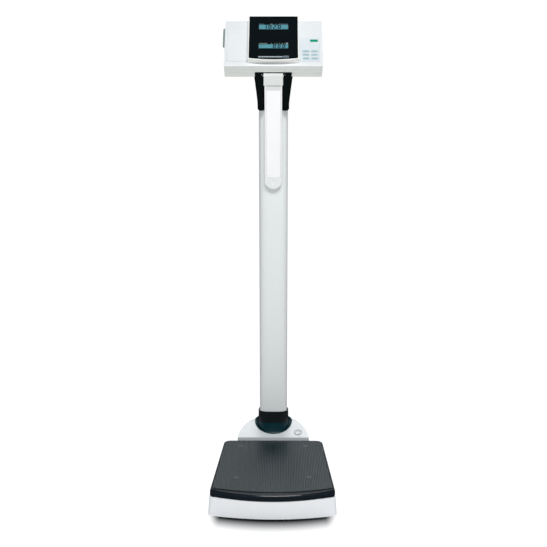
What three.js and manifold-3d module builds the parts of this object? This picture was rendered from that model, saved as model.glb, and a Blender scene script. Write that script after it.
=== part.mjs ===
// Electronic column scale with a height gauge: weighing platform, column, and a sliding display head.
// Millimetres, +Z up, +X to the user's right, and the user steps on from -Y.
// The origin is on the floor, below the middle of the whole outline.
import * as THREE from "three";
import { mergeVertices } from "three/addons/utils/BufferGeometryUtils.js";
import Module from "manifold-3d";

const wasm = await Module();
wasm.setup();

// ---- driving dimensions ----
const GAP = 0.3;
const WALL = 3;
const ROUND = 28;

// Plan outlines of the base: half widths, the Y of the corners and of the curved nose, corner radii.
const BASE = {
  frontHalf: 180.8, frontY: -231.5, noseY: -268.5,
  rearHalf: 157, rearY: 118.5, rFront: 10, rRear: 18,
};
const COVER = {
  frontHalf: 176, frontY: -224, noseY: -266.5,
  rearHalf: 153, rearY: 117.5, rFront: 9, rRear: 17,
};
const MAT = {
  frontHalf: 168, frontY: -214, noseY: -243.5,
  rearHalf: 148, rearY: 113, rFront: 5, rRear: 18,
};
const BASE_Z = [9.5, 61.5];
const COVER_Z = [62.5, 80.5];
const COVER_CHAMFER = 4;
const COVER_TOP_WALL = 5.9;
const MAT_Z = [78, 81.5];
const BASE_FLARE = 0.98;
const FRAME_Z = [14.3, 18.3];
const CELL_Z = [30.3, 46];
const PLATE_Z = [71.3, 74.3];

const FOOT = { padR: 17, padTop: 8, screwR: 5, screwTop: 40 };
const FOOT_SPOTS = [[-138, -190], [138, -190], [-82, 150], [82, 150]];
const CELL_SPOTS = [[-112, -150], [112, -150], [-98, 60], [98, 60]];

// Column and its sliding inner profile share one upright axis.
const COLUMN = { y: 193.5, width: 86, depth: 76, corner: 30, wall: WALL, low: 70, high: 1118 };
const INNER = { width: 73, depth: 63, corner: 24, wall: 2, low: 130, high: 1139.7 };
const SOCKET_TOP = 128;
const COVER_SLOPE = THREE.MathUtils.degToRad(19.8);
const REAR = { frontY: 120.8, frontZ: 88.7, bossR: 63.5, low: 9.5 };
const FLANGE = { radius: 59, wall: 4.5, frontRise: 1.2, sideRise: 4, bellTop: 116 };
const SLEEVE = { width: 97, depth: 84, corner: 24, top: 162 };
const LEVEL = { x: 77, y: 144, floor: 92.6, radius: 12.5 };
const CASTOR = { x: 36, y: 237, z: 24, radius: 20, width: 15, axleR: 4 };

// Head: the yoke carries the console and the folding tongue.
const YOKE = {
  low: 1100, high: 1209.5, frontY: 142, rearY: 236,
  halfLow: 45.75, halfWide: 57, halfHigh: 53.2,
};
const YOKE_WEB = [1119, 1140];
const PIVOT = { y: 149, z: 1198.5, barrel: 9, pinR: 3 };
const CHEEK_SCREW = { x: 33.2, z: 1203 };
const TONGUE = { half: 25.6, front: 141.2, back: 152, tip: 870, blockHalf: 28, blockLow: 1172 };
const PANEL = { half: 20.5, depth: 1.6, low: 905, high: 1158 };
const CONSOLE = {
  half: 143, halfLow: 140.5, frontY: 143.5, rearY: 268.5,
  low: 1197, seam: 1226.5, sill: 1229, wall: 2.5,
};
const SLOPE = THREE.MathUtils.degToRad(45);
const SLOPE_LENGTH = (CONSOLE.rearY - CONSOLE.frontY) / Math.cos(SLOPE);
const TOWER = { half: 74.5, cornerS: 11, noseS: 4.2, rearS: 180, top: 16, footS: 10 };
const WINDOW = { half: 71, cornerS: 14.1, noseS: 8.3, rearS: 180, low: 14 };
const LCD = { half: 42.6, low: 9, top: 15.9, weightS: [52.2, 67.6], heightS: [128, 145.4] };
const KEYPAD = { x: [78, 134], s: [16, 108], low: -2.5, top: 0.5 };
const KEY = {
  low: -1.2, top: 1.1, columns: [94.7, 120], rows: [55, 41, 26.5],
  width: 20, height: 8, corner: 2, edge: 0.5, play: 0.4,
};
const START_KEY = { x: 118.5, s: 97, width: 22.5, height: 9 };
const LID = { x: [-135.5, -76.5], s: [17, 172], depth: 1.5 };
const PORT_COVER = { s: [77, 148], t: [-9, -1], proud: 5.2 };
const DRUM = { radius: 15, half: 8, y: 208.9, z: 1172 };

// ---- shapes and solids ----
const colour = (r, g, b) => new THREE.Color().setRGB(r / 255, g / 255, b / 255, THREE.SRGBColorSpace);
const finish = (rgb, roughness, metalness = 0) =>
  new THREE.MeshStandardMaterial({ color: colour(...rgb), roughness, metalness });

const FINISH = {
  whitePlastic: () => finish([228, 233, 237], 0.45),
  consolePlastic: () => finish([230, 235, 238], 0.5),
  blackPlastic: () => finish([30, 36, 42], 0.3),
  coverPlastic: () => finish([37, 47, 58], 0.25),
  rubber: () => finish([75, 85, 88], 0.75),
  darkRubber: () => finish([35, 38, 40], 0.8),
  aluminium: () => finish([214, 218, 217], 0.4, 0.7),
  steel: () => finish([150, 155, 158], 0.35, 0.9),
  glass: () => finish([17, 24, 26], 0.08),
  lcd: () => finish([85, 152, 167], 0.3),
  board: () => finish([30, 90, 60], 0.5),
  keypad: () => finish([226, 234, 240], 0.5),
  key: () => finish([185, 205, 212], 0.5),
  greenKey: () => finish([0, 160, 125], 0.4),
  port: () => finish([125, 145, 143], 0.6),
  vial: () => finish([200, 225, 190], 0.1),
};

const solidOf = (geometry) => {
  const bare = geometry.clone();
  bare.deleteAttribute("normal");
  bare.deleteAttribute("uv");
  const merged = mergeVertices(bare, 1e-4);
  return new wasm.Manifold(new wasm.Mesh({
    numProp: 3,
    vertProperties: Float32Array.from(merged.attributes.position.array),
    triVerts: Uint32Array.from(merged.index.array),
  }));
};

const geometryOf = (manifold) => {
  const mesh = manifold.getMesh();
  const geometry = new THREE.BufferGeometry();
  geometry.setAttribute("position", new THREE.BufferAttribute(Float32Array.from(mesh.vertProperties), 3));
  geometry.setIndex(new THREE.BufferAttribute(Uint32Array.from(mesh.triVerts), 1));
  geometry.computeVertexNormals();
  return geometry;
};

const join = (first, ...rest) =>
  geometryOf(rest.reduce((sum, one) => sum.add(solidOf(one)), solidOf(first)));
const cut = (first, ...rest) =>
  geometryOf(rest.reduce((left, one) => left.subtract(solidOf(one)), solidOf(first)));
const common = (first, ...rest) =>
  geometryOf(rest.reduce((both, one) => both.intersect(solidOf(one)), solidOf(first)));

// A closed outline through corners [x, y, radius], with each corner rounded by its radius.
function rounded(corners) {
  const shape = new THREE.Shape();
  corners.forEach(([x, y, radius = 0], index) => {
    const here = new THREE.Vector2(x, y);
    const before = new THREE.Vector2(...corners.at(index - 1));
    const after = new THREE.Vector2(...corners[(index + 1) % corners.length]);
    const start = here.clone().add(before.sub(here).setLength(radius));
    const end = here.clone().add(after.sub(here).setLength(radius));
    if (index === 0) shape.moveTo(start.x, start.y);
    else shape.lineTo(start.x, start.y);
    if (radius > 0) shape.quadraticCurveTo(x, y, end.x, end.y);
  });
  shape.closePath();
  return shape;
}

const rectangle = (x0, x1, y0, y1, radius = 0) =>
  rounded([[x0, y0, radius], [x1, y0, radius], [x1, y1, radius], [x0, y1, radius]]);

const extruded = (shape, depth, curveSegments = 6) =>
  new THREE.ExtrudeGeometry(shape, { depth, curveSegments, bevelEnabled: false });

// Upright prism of an XY outline.
const slab = (shape, low, high, curveSegments) =>
  extruded(shape, high - low, curveSegments).translate(0, 0, low);

// Prism along X of a YZ outline.
const alongX = (shape, low, high, curveSegments) => {
  const axes = new THREE.Matrix4().makeBasis(
    new THREE.Vector3(0, 1, 0), new THREE.Vector3(0, 0, 1), new THREE.Vector3(1, 0, 0));
  return extruded(shape, high - low, curveSegments).applyMatrix4(axes).translate(low, 0, 0);
};

const box = (x0, x1, y0, y1, z0, z1) =>
  new THREE.BoxGeometry(x1 - x0, y1 - y0, z1 - z0).translate((x0 + x1) / 2, (y0 + y1) / 2, (z0 + z1) / 2);

const disc = (x, y, radius, low, high, segments = ROUND, topRadius = radius) =>
  new THREE.CylinderGeometry(topRadius, radius, high - low, segments)
    .rotateX(Math.PI / 2).translate(x, y, (low + high) / 2);

const rod = (y, z, radius, low, high, segments = 20) =>
  new THREE.CylinderGeometry(radius, radius, high - low, segments)
    .rotateZ(Math.PI / 2).translate((low + high) / 2, y, z);

// Scales each level of a geometry about (0, centreY) by a factor that changes evenly with height.
function taper(geometry, [low, high], [scaleLow, scaleHigh], centreY = null) {
  const spots = geometry.attributes.position;
  for (let i = 0; i < spots.count; i += 1) {
    const share = (spots.getZ(i) - low) / (high - low);
    const scale = scaleLow + (scaleHigh - scaleLow) * share;
    spots.setX(i, spots.getX(i) * scale);
    if (centreY !== null) spots.setY(i, centreY + (spots.getY(i) - centreY) * scale);
  }
  return geometry;
}

// Trapezoid plan with a nose curved as one arc, drawn in by an inset all round.
function deck(plan, inset = 0) {
  const half = plan.frontHalf - inset;
  const rearHalf = plan.rearHalf - inset;
  const frontY = plan.frontY + inset;
  const noseY = plan.noseY + inset;
  const sag = frontY - noseY;
  const radius = (half * half + sag * sag) / (2 * sag);
  const steps = 10;
  const nose = [];
  for (let i = 1 - steps; i < steps; i += 1) {
    const x = (half * i) / steps;
    nose.push([x, noseY + radius - Math.sqrt(radius * radius - x * x)]);
  }
  const soften = (corner) => Math.max(1, corner - inset);
  return rounded([
    [-half, frontY, soften(plan.rFront)],
    ...nose,
    [half, frontY, soften(plan.rFront)],
    [rearHalf, plan.rearY - inset, soften(plan.rRear)],
    [-rearHalf, plan.rearY - inset, soften(plan.rRear)],
  ]);
}

const oval = (width, depth, corner, centreY = COLUMN.y) =>
  rectangle(-width / 2, width / 2, centreY - depth / 2, centreY + depth / 2, corner);

const BOSS_START = THREE.MathUtils.degToRad(18);
const rearSurface = (y) => REAR.frontZ + (Math.min(y, COLUMN.y) - REAR.frontY) * Math.tan(COVER_SLOPE);

// Plan of the rear cover: wide at the deck, drawn in to a round boss behind the column.
function rearPlan(inset = 0) {
  const radius = REAR.bossR - inset;
  const bossEdge = new THREE.Vector2(
    radius * Math.cos(BOSS_START), COLUMN.y + radius * Math.sin(BOSS_START));
  const side = [[111.5, REAR.frontY], [104.5, 150], [91.5, 175], [76, 194]]
    .map(([x, y]) => new THREE.Vector2(x - inset, y + (y === REAR.frontY ? inset : 0)));
  side.push(bossEdge);
  const shape = new THREE.Shape();
  shape.moveTo(-side[0].x, side[0].y);
  shape.lineTo(side[0].x, side[0].y);
  shape.splineThru(side.slice(1));
  shape.absarc(0, COLUMN.y, radius, BOSS_START, Math.PI - BOSS_START, false);
  shape.splineThru(side.slice(0, -1).reverse().map((spot) => new THREE.Vector2(-spot.x, spot.y)));
  shape.closePath();
  return shape;
}

// Everything below the rear cover's sloping top, raised by one offset beside the column's axis
// and by another at the flange's front.
function belowSlope(offset = 0, frontOffset = offset) {
  const reach = 90;
  const low = REAR.low - 10;
  const high = rearSurface(COLUMN.y) + offset;
  const rise = Math.tan(COVER_SLOPE) + (offset - frontOffset) / FLANGE.radius;
  return alongX(rounded([
    [COLUMN.y - 2 * reach, low],
    [COLUMN.y + reach, low],
    [COLUMN.y + reach, high],
    [COLUMN.y, high],
    [COLUMN.y - reach, high - reach * rise],
    [COLUMN.y - 2 * reach, high - reach * rise],
  ]), -BASE.frontHalf, BASE.frontHalf);
}

// ---- named meshes ----
const scale = new THREE.Group();
const head = new THREE.Group();
const desk = new THREE.Group();
desk.position.set(0, CONSOLE.frontY, CONSOLE.sill);
desk.rotation.x = SLOPE;
head.add(desk);
scale.add(head);

function add(parent, name, geometry, material, [x, y, z] = [0, 0, 0]) {
  const mesh = new THREE.Mesh(geometry, material());
  mesh.name = name;
  mesh.position.set(x, y, z);
  parent.add(mesh);
}

// ---- weighing base ----
function baseShell() {
  const centreY = -75;
  const [low, high] = BASE_Z;
  const outer = taper(slab(deck(BASE), low, high), BASE_Z, [1, BASE_FLARE], centreY);
  const floor = FRAME_Z[0] - GAP;
  const inner = taper(slab(deck(BASE, WALL), floor, high + 1), BASE_Z, [1, BASE_FLARE], centreY);
  const under = slab(deck(BASE, 14), low - 1, floor + 1);
  const doorway = box(-108, 108, BASE.rearY - 20, BASE.rearY + 5, low - 1, 30);
  return cut(outer, inner, under, doorway);
}

function baseFrame() {
  const [low, high] = FRAME_Z;
  const tail = rounded([
    [-104, 90], [104, 90], [104, 124], [88, 164, 10], [56, 186], [56, 212, 4], [24, 212],
    [24, 246, 3], [-24, 246, 3], [-24, 212], [-56, 212, 4], [-56, 186], [-88, 164, 10], [-104, 124]]);
  const ribs = [-60, 0, 60].map((x) => box(x - 2, x + 2, -200, 96, high - 1, high + 14));
  const bosses = FOOT_SPOTS.map(([x, y]) => disc(x, y, 10, high - 1, high + 14, 16));
  const pillars = CELL_SPOTS.map(([x, y]) =>
    box(x - 36, x - 16, y - 9, y + 9, high - 1, CELL_Z[0] - GAP));
  const floor = join(slab(deck(BASE, WALL + 3), low, high), slab(tail, low, high));
  const frame = join(floor, ...ribs, ...bosses, ...pillars);
  const bores = FOOT_SPOTS.map(([x, y]) => disc(x, y, FOOT.screwR + GAP, low - 1, high + 15, 16));
  return cut(frame, ...bores);
}

function loadCell() {
  const [low, high] = CELL_Z;
  const bar = box(-36, 36, -9, 9, low, high);
  const stem = disc(24, 0, 7, high - 1, PLATE_Z[0] - GAP, 16);
  const middle = (low + high) / 2;
  const holes = [-7, 7].map((x) =>
    new THREE.CylinderGeometry(5, 5, 30, 12).translate(x, 0, middle));
  return cut(join(bar, stem), ...holes);
}

function loadPlate() {
  const [low, high] = PLATE_Z;
  const plate = slab(deck(COVER, 12), low, high);
  const ribs = [-50, -18, 18, 50].map((x) => box(x - 1.5, x + 1.5, -170, 96, low - 16, low + 1));
  return join(plate, ...ribs);
}

function platformCover() {
  const [low, high] = COVER_Z;
  const depth = high - low - COVER_CHAMFER;
  const edge = { depth, curveSegments: 6, bevelSize: COVER_CHAMFER, bevelThickness: COVER_CHAMFER };
  const block = new THREE.ExtrudeGeometry(
    deck(COVER), { ...edge, bevelOffset: -COVER_CHAMFER, bevelSegments: 2 }).translate(0, 0, low);
  const below = box(-200, 200, -300, 200, low - 20, low);
  const hollow = slab(deck(COVER, WALL + 1), low - 1, high - COVER_TOP_WALL);
  const seat = slab(deck(MAT, -GAP), MAT_Z[0] - GAP, high + 1);
  return cut(block, below, hollow, seat);
}

function platformMat() {
  return slab(deck(MAT), ...MAT_Z);
}

function footPad() {
  const pad = join(disc(0, 0, FOOT.padR, 0, 5, 20, 16), disc(0, 0, 11, 4, FOOT.padTop, 20, 9.5));
  return cut(pad, disc(0, 0, FOOT.screwR + GAP, 3, FOOT.padTop + 1, 16));
}

function footScrew() {
  const shank = disc(0, 0, FOOT.screwR, 3 + GAP, FOOT.screwTop, 16);
  const slot = box(-0.8, 0.8, -8, 8, FOOT.screwTop - 2, FOOT.screwTop + 1);
  const collar = disc(0, 0, 8, FOOT.padTop + GAP, FOOT.padTop + 4, 6);
  return cut(join(shank, collar), slot);
}

// ---- rear cover, column and what holds it ----
function rearCover() {
  const outer = common(slab(rearPlan(), REAR.low, 140, 5), belowSlope());
  const bead = common(disc(0, COLUMN.y, FLANGE.radius + 3.5, 80, 140, 40), belowSlope(1.1));
  const hollow = common(slab(rearPlan(WALL), REAR.low - 1, 140, 5), belowSlope(-WALL));
  const frontGate = box(-107, 107, REAR.frontY - 5, REAR.frontY + WALL + 1, REAR.low - 1, 58);
  const columnHole = disc(0, COLUMN.y, FLANGE.radius + GAP, 60, 150, 40);
  const wheelGates = [-1, 1].map((side) => box(
    side * CASTOR.x - CASTOR.width / 2 - 3, side * CASTOR.x + CASTOR.width / 2 + 3,
    CASTOR.y - 26, CASTOR.y + 40, REAR.low - 1, CASTOR.z + CASTOR.radius + 3));
  const inletGate = box(-8, 8, COLUMN.y + 50, COLUMN.y + 70, 52, 66);
  const levelCup = disc(LEVEL.x, LEVEL.y, LEVEL.radius + 2.5, LEVEL.floor - 3, 140, 24);
  const levelBore = disc(LEVEL.x, LEVEL.y, LEVEL.radius + GAP, LEVEL.floor, 140, 24);
  const levelWell = common(levelCup, belowSlope());
  const skin = join(cut(join(outer, bead), hollow), levelWell);
  return cut(skin, levelBore, columnHole, frontGate, inletGate, ...wheelGates);
}

function levelRing() {
  const low = LEVEL.floor + GAP;
  const ring = disc(LEVEL.x, LEVEL.y, LEVEL.radius, low, low + 4.5, 24);
  return cut(ring, disc(LEVEL.x, LEVEL.y, LEVEL.radius - 2.5, low + 1, low + 6, 24));
}

function levelVial() {
  const radius = LEVEL.radius - 2.5 - GAP;
  const low = LEVEL.floor + 1 + 2 * GAP;
  const side = 2.6;
  const crown = 1.6;
  const profile = [[0, low], [radius, low], [radius, low + side]];
  for (let i = 1; i < 4; i += 1) {
    const lean = (i / 4) * (Math.PI / 2);
    profile.push([radius * Math.cos(lean), low + side + crown * Math.sin(lean)]);
  }
  profile.push([0, low + side + crown]);
  const points = profile.map(([r, z]) => new THREE.Vector2(r, z));
  return new THREE.LatheGeometry(points, 20).rotateX(Math.PI / 2).translate(LEVEL.x, LEVEL.y, 0);
}

// Dish round the column foot: a raised rim, and a bell that sweeps up from it to the sleeve.
function columnFlange() {
  const { radius, wall, frontRise, sideRise, bellTop } = FLANGE;
  const low = rearSurface(COLUMN.y) - 30;
  const rim = common(disc(0, COLUMN.y, radius, low, 140, 40), belowSlope(sideRise, frontRise));
  const hollow = disc(0, COLUMN.y, radius - wall, low - 1, 150, 40);
  const floor = common(disc(0, COLUMN.y, radius - 1, low, 150, 40), belowSlope(-1.5));
  const flare = [
    [1.02, bellTop], [1.05, bellTop - 6], [1.1, bellTop - 13], [1.2, bellTop - 20], [1.36, low + 1]];
  const edge = disc(0, COLUMN.y, radius - 2, low - 1, 150, 32);
  const bell = flare.slice(1).map(([scaleLow, base], index) => {
    const [scaleHigh, top] = flare[index];
    const ring = slab(oval(SLEEVE.width, SLEEVE.depth, SLEEVE.corner), base - 0.4, top);
    return common(taper(ring, [base - 0.4, top], [scaleLow, scaleHigh], COLUMN.y), edge);
  });
  const bore = slab(oval(SLEEVE.width + 2 * GAP, SLEEVE.depth + 2 * GAP, SLEEVE.corner), low - 5, 160);
  return cut(join(cut(rim, hollow), floor, ...bell), bore);
}

function columnSleeve() {
  const low = rearSurface(COLUMN.y) - 30;
  const outer = taper(
    slab(oval(SLEEVE.width, SLEEVE.depth, SLEEVE.corner), low, SLEEVE.top),
    [low, SLEEVE.top], [1, 0.97], COLUMN.y);
  const hole = oval(COLUMN.width + 2 * GAP, COLUMN.depth + 2 * GAP, COLUMN.corner);
  return cut(outer, slab(hole, low - 1, SLEEVE.top + 1));
}

function tube({ width, depth, corner, wall }, low, high) {
  const outer = slab(oval(width, depth, corner), low, high);
  return cut(outer, slab(oval(width - 2 * wall, depth - 2 * wall, corner - wall), low - 1, high + 1));
}

function columnSocket() {
  const play = 2 * (WALL + GAP);
  const plug = { width: COLUMN.width - play, depth: COLUMN.depth - play, corner: 26, wall: 5 };
  const deckZ = FRAME_Z[1];
  const foot = slab(oval(108, 34, 8, COLUMN.y - 8), deckZ + GAP, deckZ + 8);
  const collar = slab(oval(COLUMN.width, COLUMN.depth, COLUMN.corner), deckZ + GAP, COLUMN.low - GAP);
  const rearTrim = box(-60, 60, CASTOR.y - 34, CASTOR.y + 40, deckZ - 1, deckZ + 25);
  const hole = oval(plug.width - 2 * plug.wall, plug.depth - 2 * plug.wall, plug.corner - plug.wall);
  const bore = slab(hole, deckZ + 9, SOCKET_TOP + 1);
  const stem = slab(oval(plug.width, plug.depth, plug.corner), deckZ + GAP, SOCKET_TOP);
  const anchor = box(-7, 7, COLUMN.y - 30, COLUMN.y + 30, SOCKET_TOP - 6, SOCKET_TOP);
  return cut(join(cut(join(foot, collar, stem), bore), anchor), rearTrim);
}

// Sliding bush ring between the column's bore and the inner profile.
function bush(low, high, clearance) {
  const outer = {
    width: COLUMN.width - 2 * COLUMN.wall - 2 * clearance.outside,
    depth: COLUMN.depth - 2 * COLUMN.wall - 2 * clearance.outside,
  };
  const inner = { width: INNER.width + 2 * clearance.inside, depth: INNER.depth + 2 * clearance.inside };
  const ring = slab(oval(outer.width, outer.depth, COLUMN.corner - COLUMN.wall), low, high);
  return cut(ring, slab(oval(inner.width, inner.depth, INNER.corner), low - 1, high + 1));
}

function castorBracket() {
  const block = box(-23, 23, CASTOR.y - 30, CASTOR.y + 11, FRAME_Z[1] + GAP, CASTOR.z + 12);
  const room = box(-14, 14, CASTOR.y - 22, CASTOR.y + 20, FRAME_Z[1] + 3, CASTOR.z + 20);
  return cut(block, rod(CASTOR.y, CASTOR.z, CASTOR.axleR + GAP, -30, 30), room);
}

function castorWheel() {
  const tread = CASTOR.radius;
  const hub = CASTOR.axleR + 0.05;
  const half = CASTOR.width / 2;
  const profile = [[hub, -half], [tread - 6, -half], [tread - 5, -half + 2], [tread - 2, -half + 2],
    [tread, -half + 4], [tread, half - 4], [tread - 2, half - 2], [tread - 5, half - 2], [tread - 6, half],
    [hub, half], [hub, -half]];
  const points = profile.map(([r, x]) => new THREE.Vector2(r, x));
  return new THREE.LatheGeometry(points, 22).rotateZ(-Math.PI / 2);
}

function powerInlet() {
  const rear = COLUMN.y + REAR.bossR;
  const housing = box(-7.5, 7.5, rear - 16, rear - 1.5, 52.5, 65.5);
  const barrel = new THREE.CylinderGeometry(2.8, 2.8, 20, 16).translate(0, rear - 1.5, 59);
  const pin = new THREE.CylinderGeometry(1, 1, 10, 10).translate(0, rear - 8, 59);
  return join(cut(housing, barrel), pin);
}

function buildBase() {
  add(scale, "base_shell", baseShell(), FINISH.whitePlastic);
  add(scale, "base_frame", baseFrame(), FINISH.steel);
  CELL_SPOTS.forEach(([x, y], index) =>
    add(scale, `load_cell_${index + 1}`, loadCell(), FINISH.aluminium, [x, y, 0]));
  add(scale, "load_plate", loadPlate(), FINISH.steel);
  add(scale, "platform_cover", platformCover(), FINISH.coverPlastic);
  add(scale, "platform_mat", platformMat(), FINISH.rubber);
  FOOT_SPOTS.forEach(([x, y], index) => {
    add(scale, `foot_pad_${index + 1}`, footPad(), FINISH.darkRubber, [x, y, 0]);
    add(scale, `foot_screw_${index + 1}`, footScrew(), FINISH.steel, [x, y, 0]);
  });
}

function buildColumn() {
  add(scale, "rear_cover", rearCover(), FINISH.whitePlastic);
  add(scale, "level_ring", levelRing(), FINISH.whitePlastic);
  add(scale, "level_vial", levelVial(), FINISH.vial);
  add(scale, "column_flange", columnFlange(), FINISH.blackPlastic);
  add(scale, "column_sleeve", columnSleeve(), FINISH.blackPlastic);
  add(scale, "column", tube(COLUMN, COLUMN.low, COLUMN.high), FINISH.aluminium);
  add(scale, "column_socket", columnSocket(), FINISH.aluminium);
  const topBush = bush(COLUMN.high - 40, COLUMN.high - 1, { outside: GAP, inside: 0.5 });
  add(scale, "guide_bush", topBush, FINISH.blackPlastic);
  add(scale, "castor_bracket", castorBracket(), FINISH.steel);
  add(scale, "castor_axle", rod(CASTOR.y, CASTOR.z, CASTOR.axleR, -46, 46), FINISH.steel);
  [-1, 1].forEach((side, index) => {
    const place = [side * CASTOR.x, CASTOR.y, CASTOR.z];
    add(scale, `castor_wheel_${index + 1}`, castorWheel(), FINISH.darkRubber, place);
  });
  add(scale, "power_inlet", powerInlet(), FINISH.blackPlastic);
  const tape = box(-5, 5, COLUMN.y - 0.2, COLUMN.y + 0.2, SOCKET_TOP + GAP, DRUM.z);
  add(scale, "balance_tape", tape, FINISH.steel);
}

// ---- sliding head ----
function yoke() {
  const { low, high, frontY, rearY, halfLow, halfWide, halfHigh } = YOKE;
  const [web, webTop] = YOKE_WEB;
  const shoulder = CONSOLE.low - GAP;
  const plan = (half) => rounded([
    [-half, frontY, 7], [half, frontY, 7], [half, rearY, 30], [-half, rearY, 30]]);
  const flared = taper(slab(plan(halfWide), low, shoulder), [low, shoulder], [halfLow / halfWide, 1]);
  const block = join(flared, slab(plan(halfHigh), shoulder - 1, high));
  const columnCup = slab(oval(COLUMN.width + 1, COLUMN.depth + 1, COLUMN.corner), low - 1, web);
  const profilePlan = oval(INNER.width + 2 * GAP, INNER.depth + 2 * GAP, INNER.corner);
  const profileHole = slab(profilePlan, web - 1, webTop + 1);
  const chamber = slab(rectangle(-40, 40, 162, 230, 12), webTop, high - WALL);
  const lead = box(-20, 20, 180, 215, high - WALL - 1, high + 1);
  const slotHalf = TONGUE.blockHalf + 1.6;
  const slot = box(-slotHalf, slotHalf, frontY - 5, TONGUE.back + 1, low - 1, high + 1);
  const barrelRear = PIVOT.y + PIVOT.barrel + 0.6;
  const barrelRoom = box(-slotHalf, slotHalf, frontY - 5, barrelRear, PIVOT.z - 14, high + 1);
  const chamfers = [-1, 1].map((side) => new THREE.BoxGeometry(12, 140, 12).rotateY(Math.PI / 4)
    .translate(side * (halfLow + 4), (frontY + rearY) / 2, low - 4));
  const pinBore = rod(PIVOT.y, PIVOT.z, PIVOT.pinR + GAP, -60, 60);
  const seats = [-1, 1].map((side) =>
    new THREE.CylinderGeometry(1.5, 1.5, 7, 12).translate(side * CHEEK_SCREW.x, frontY, CHEEK_SCREW.z));
  const hollowed = cut(block, columnCup, profileHole, chamber, lead);
  return cut(hollowed, slot, barrelRoom, ...chamfers, pinBore, ...seats);
}

// Small cross-head screw seen from the front, one in each cheek of the yoke.
function cheekScrew(side) {
  const headDisc = new THREE.CylinderGeometry(2.2, 1.9, 1.2, 12).translate(0, -0.9, 0);
  const shank = new THREE.CylinderGeometry(1.2, 1.2, 3.5, 12).translate(0, 1.2, 0);
  const slots = [0, Math.PI / 2].map((turn) =>
    new THREE.BoxGeometry(3, 0.6, 0.5).rotateY(turn).translate(0, -1.5, 0));
  return cut(join(headDisc, shank), ...slots).translate(side * CHEEK_SCREW.x, YOKE.frontY, CHEEK_SCREW.z);
}

function consoleBlock(polygon, half) {
  const shrink = CONSOLE.halfLow / CONSOLE.half;
  return taper(alongX(rounded(polygon), -half, half), [CONSOLE.low, CONSOLE.sill], [shrink, 1]);
}

function consoleTray() {
  const { frontY, rearY, low, seam, half, wall } = CONSOLE;
  const top = seam - GAP;
  const outer = consoleBlock([[frontY, low], [rearY, low], [rearY, top], [frontY, top]], half);
  const hollow = box(-half + 6, half - 6, frontY + wall, rearY - wall, low + wall, seam + 1);
  const yokeRoom = YOKE.halfHigh + 0.5;
  const notch = box(-yokeRoom, yokeRoom, frontY - 1, YOKE.rearY + 0.5, low - 1, YOKE.high + GAP);
  const grooves = [1, 2].map((line) => {
    const z = low + (line * (seam - low)) / 3;
    return box(-half, half, frontY - 1, frontY + 0.6, z - 0.5, z + 0.5);
  });
  return cut(outer, hollow, notch, ...grooves);
}

// A prism drawn on the sloping face: outline in (x, distance up the slope), heights square to the face.
const onSlope = (geometry) => geometry.rotateX(SLOPE).translate(0, CONSOLE.frontY, CONSOLE.sill);

function consoleTop() {
  const { frontY, rearY, seam, sill, half, wall } = CONSOLE;
  const rise = (rearY - frontY) * Math.tan(SLOPE);
  const drop = wall / Math.cos(SLOPE);
  const outer = alongX(rounded([
    [frontY, seam], [rearY, seam], [rearY, sill + rise], [frontY, sill, 1.5]]), -half, half);
  const inner = alongX(rounded([
    [frontY + wall, seam - 1],
    [rearY - wall, seam - 1],
    [rearY - wall, sill + rise - wall - drop],
    [frontY + wall, sill + wall - drop],
  ]), -half + wall, half - wall);
  const keypadGate = onSlope(slab(rectangle(
    KEYPAD.x[0] - GAP, KEYPAD.x[1] + GAP, KEYPAD.s[0] - GAP, KEYPAD.s[1] + GAP), -8, 2));
  const [lidLeft, lidRight] = LID.x;
  const [lidLow, lidHigh] = LID.s;
  const lidRim = onSlope(slab(
    rectangle(lidLeft - 0.5, lidRight + 0.5, lidLow - 0.5, lidHigh + 0.5), -LID.depth, 3));
  const lidGate = onSlope(slab(rectangle(lidLeft + 3, lidRight - 3, lidLow + 3, lidHigh - 12), -8, 0));
  const towerGate = onSlope(slab(rectangle(-60, 60, 30, 140), -8, 2));
  return cut(outer, inner, keypadGate, lidRim, lidGate, towerGate);
}

// Outline on the slope whose lower edge bulges down as one arc.
function bulged({ half, cornerS, noseS, rearS }, inset = 0) {
  const width = half - inset;
  const sag = cornerS - noseS;
  const radius = (width * width + sag * sag) / (2 * sag);
  const steps = 8;
  const nose = [];
  for (let i = 1 - steps; i < steps; i += 1) {
    const x = (width * i) / steps;
    nose.push([x, noseS + inset + radius - Math.sqrt(radius * radius - x * x)]);
  }
  return rounded([
    [-width, cornerS + inset, 1], ...nose, [width, cornerS + inset, 1],
    [width, rearS - inset, 1], [-width, rearS - inset, 1]]);
}

const lcdGates = (low, high) => [LCD.weightS, LCD.heightS].map(([start, end]) =>
  slab(rectangle(-LCD.half - GAP, LCD.half + GAP, start - GAP, end + GAP), low, high));

function displayTower() {
  const shell = slab(bulged(TOWER), GAP, TOWER.top);
  const hollow = slab(rectangle(WALL - TOWER.half, TOWER.half - WALL, 16, TOWER.rearS - WALL, 2), 0, 6);
  const seatPlan = bulged({ ...WINDOW, half: WINDOW.half + GAP, rearS: TOWER.rearS + 1 });
  const seat = slab(seatPlan, WINDOW.low - GAP, TOWER.top + 1);
  const gates = lcdGates(4, TOWER.top);
  const upright = new THREE.BoxGeometry(200, 60, 60)
    .rotateX(-SLOPE).translate(0, SLOPE_LENGTH + 30 * Math.SQRT2, 0);
  const lean = Math.atan2(TOWER.footS - TOWER.noseS, TOWER.top);
  const undercut = new THREE.BoxGeometry(200, 60, 60)
    .translate(0, -30, 0).rotateX(lean).translate(0, TOWER.footS, 0);
  return cut(shell, hollow, seat, ...gates, upright, undercut);
}

function displayWindow() {
  const plan = bulged({ ...WINDOW, noseS: WINDOW.noseS + GAP, cornerS: WINDOW.cornerS + GAP });
  const pane = slab(plan, WINDOW.low, TOWER.top);
  return cut(pane, ...lcdGates(WINDOW.low - 1, TOWER.top + 1));
}

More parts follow.
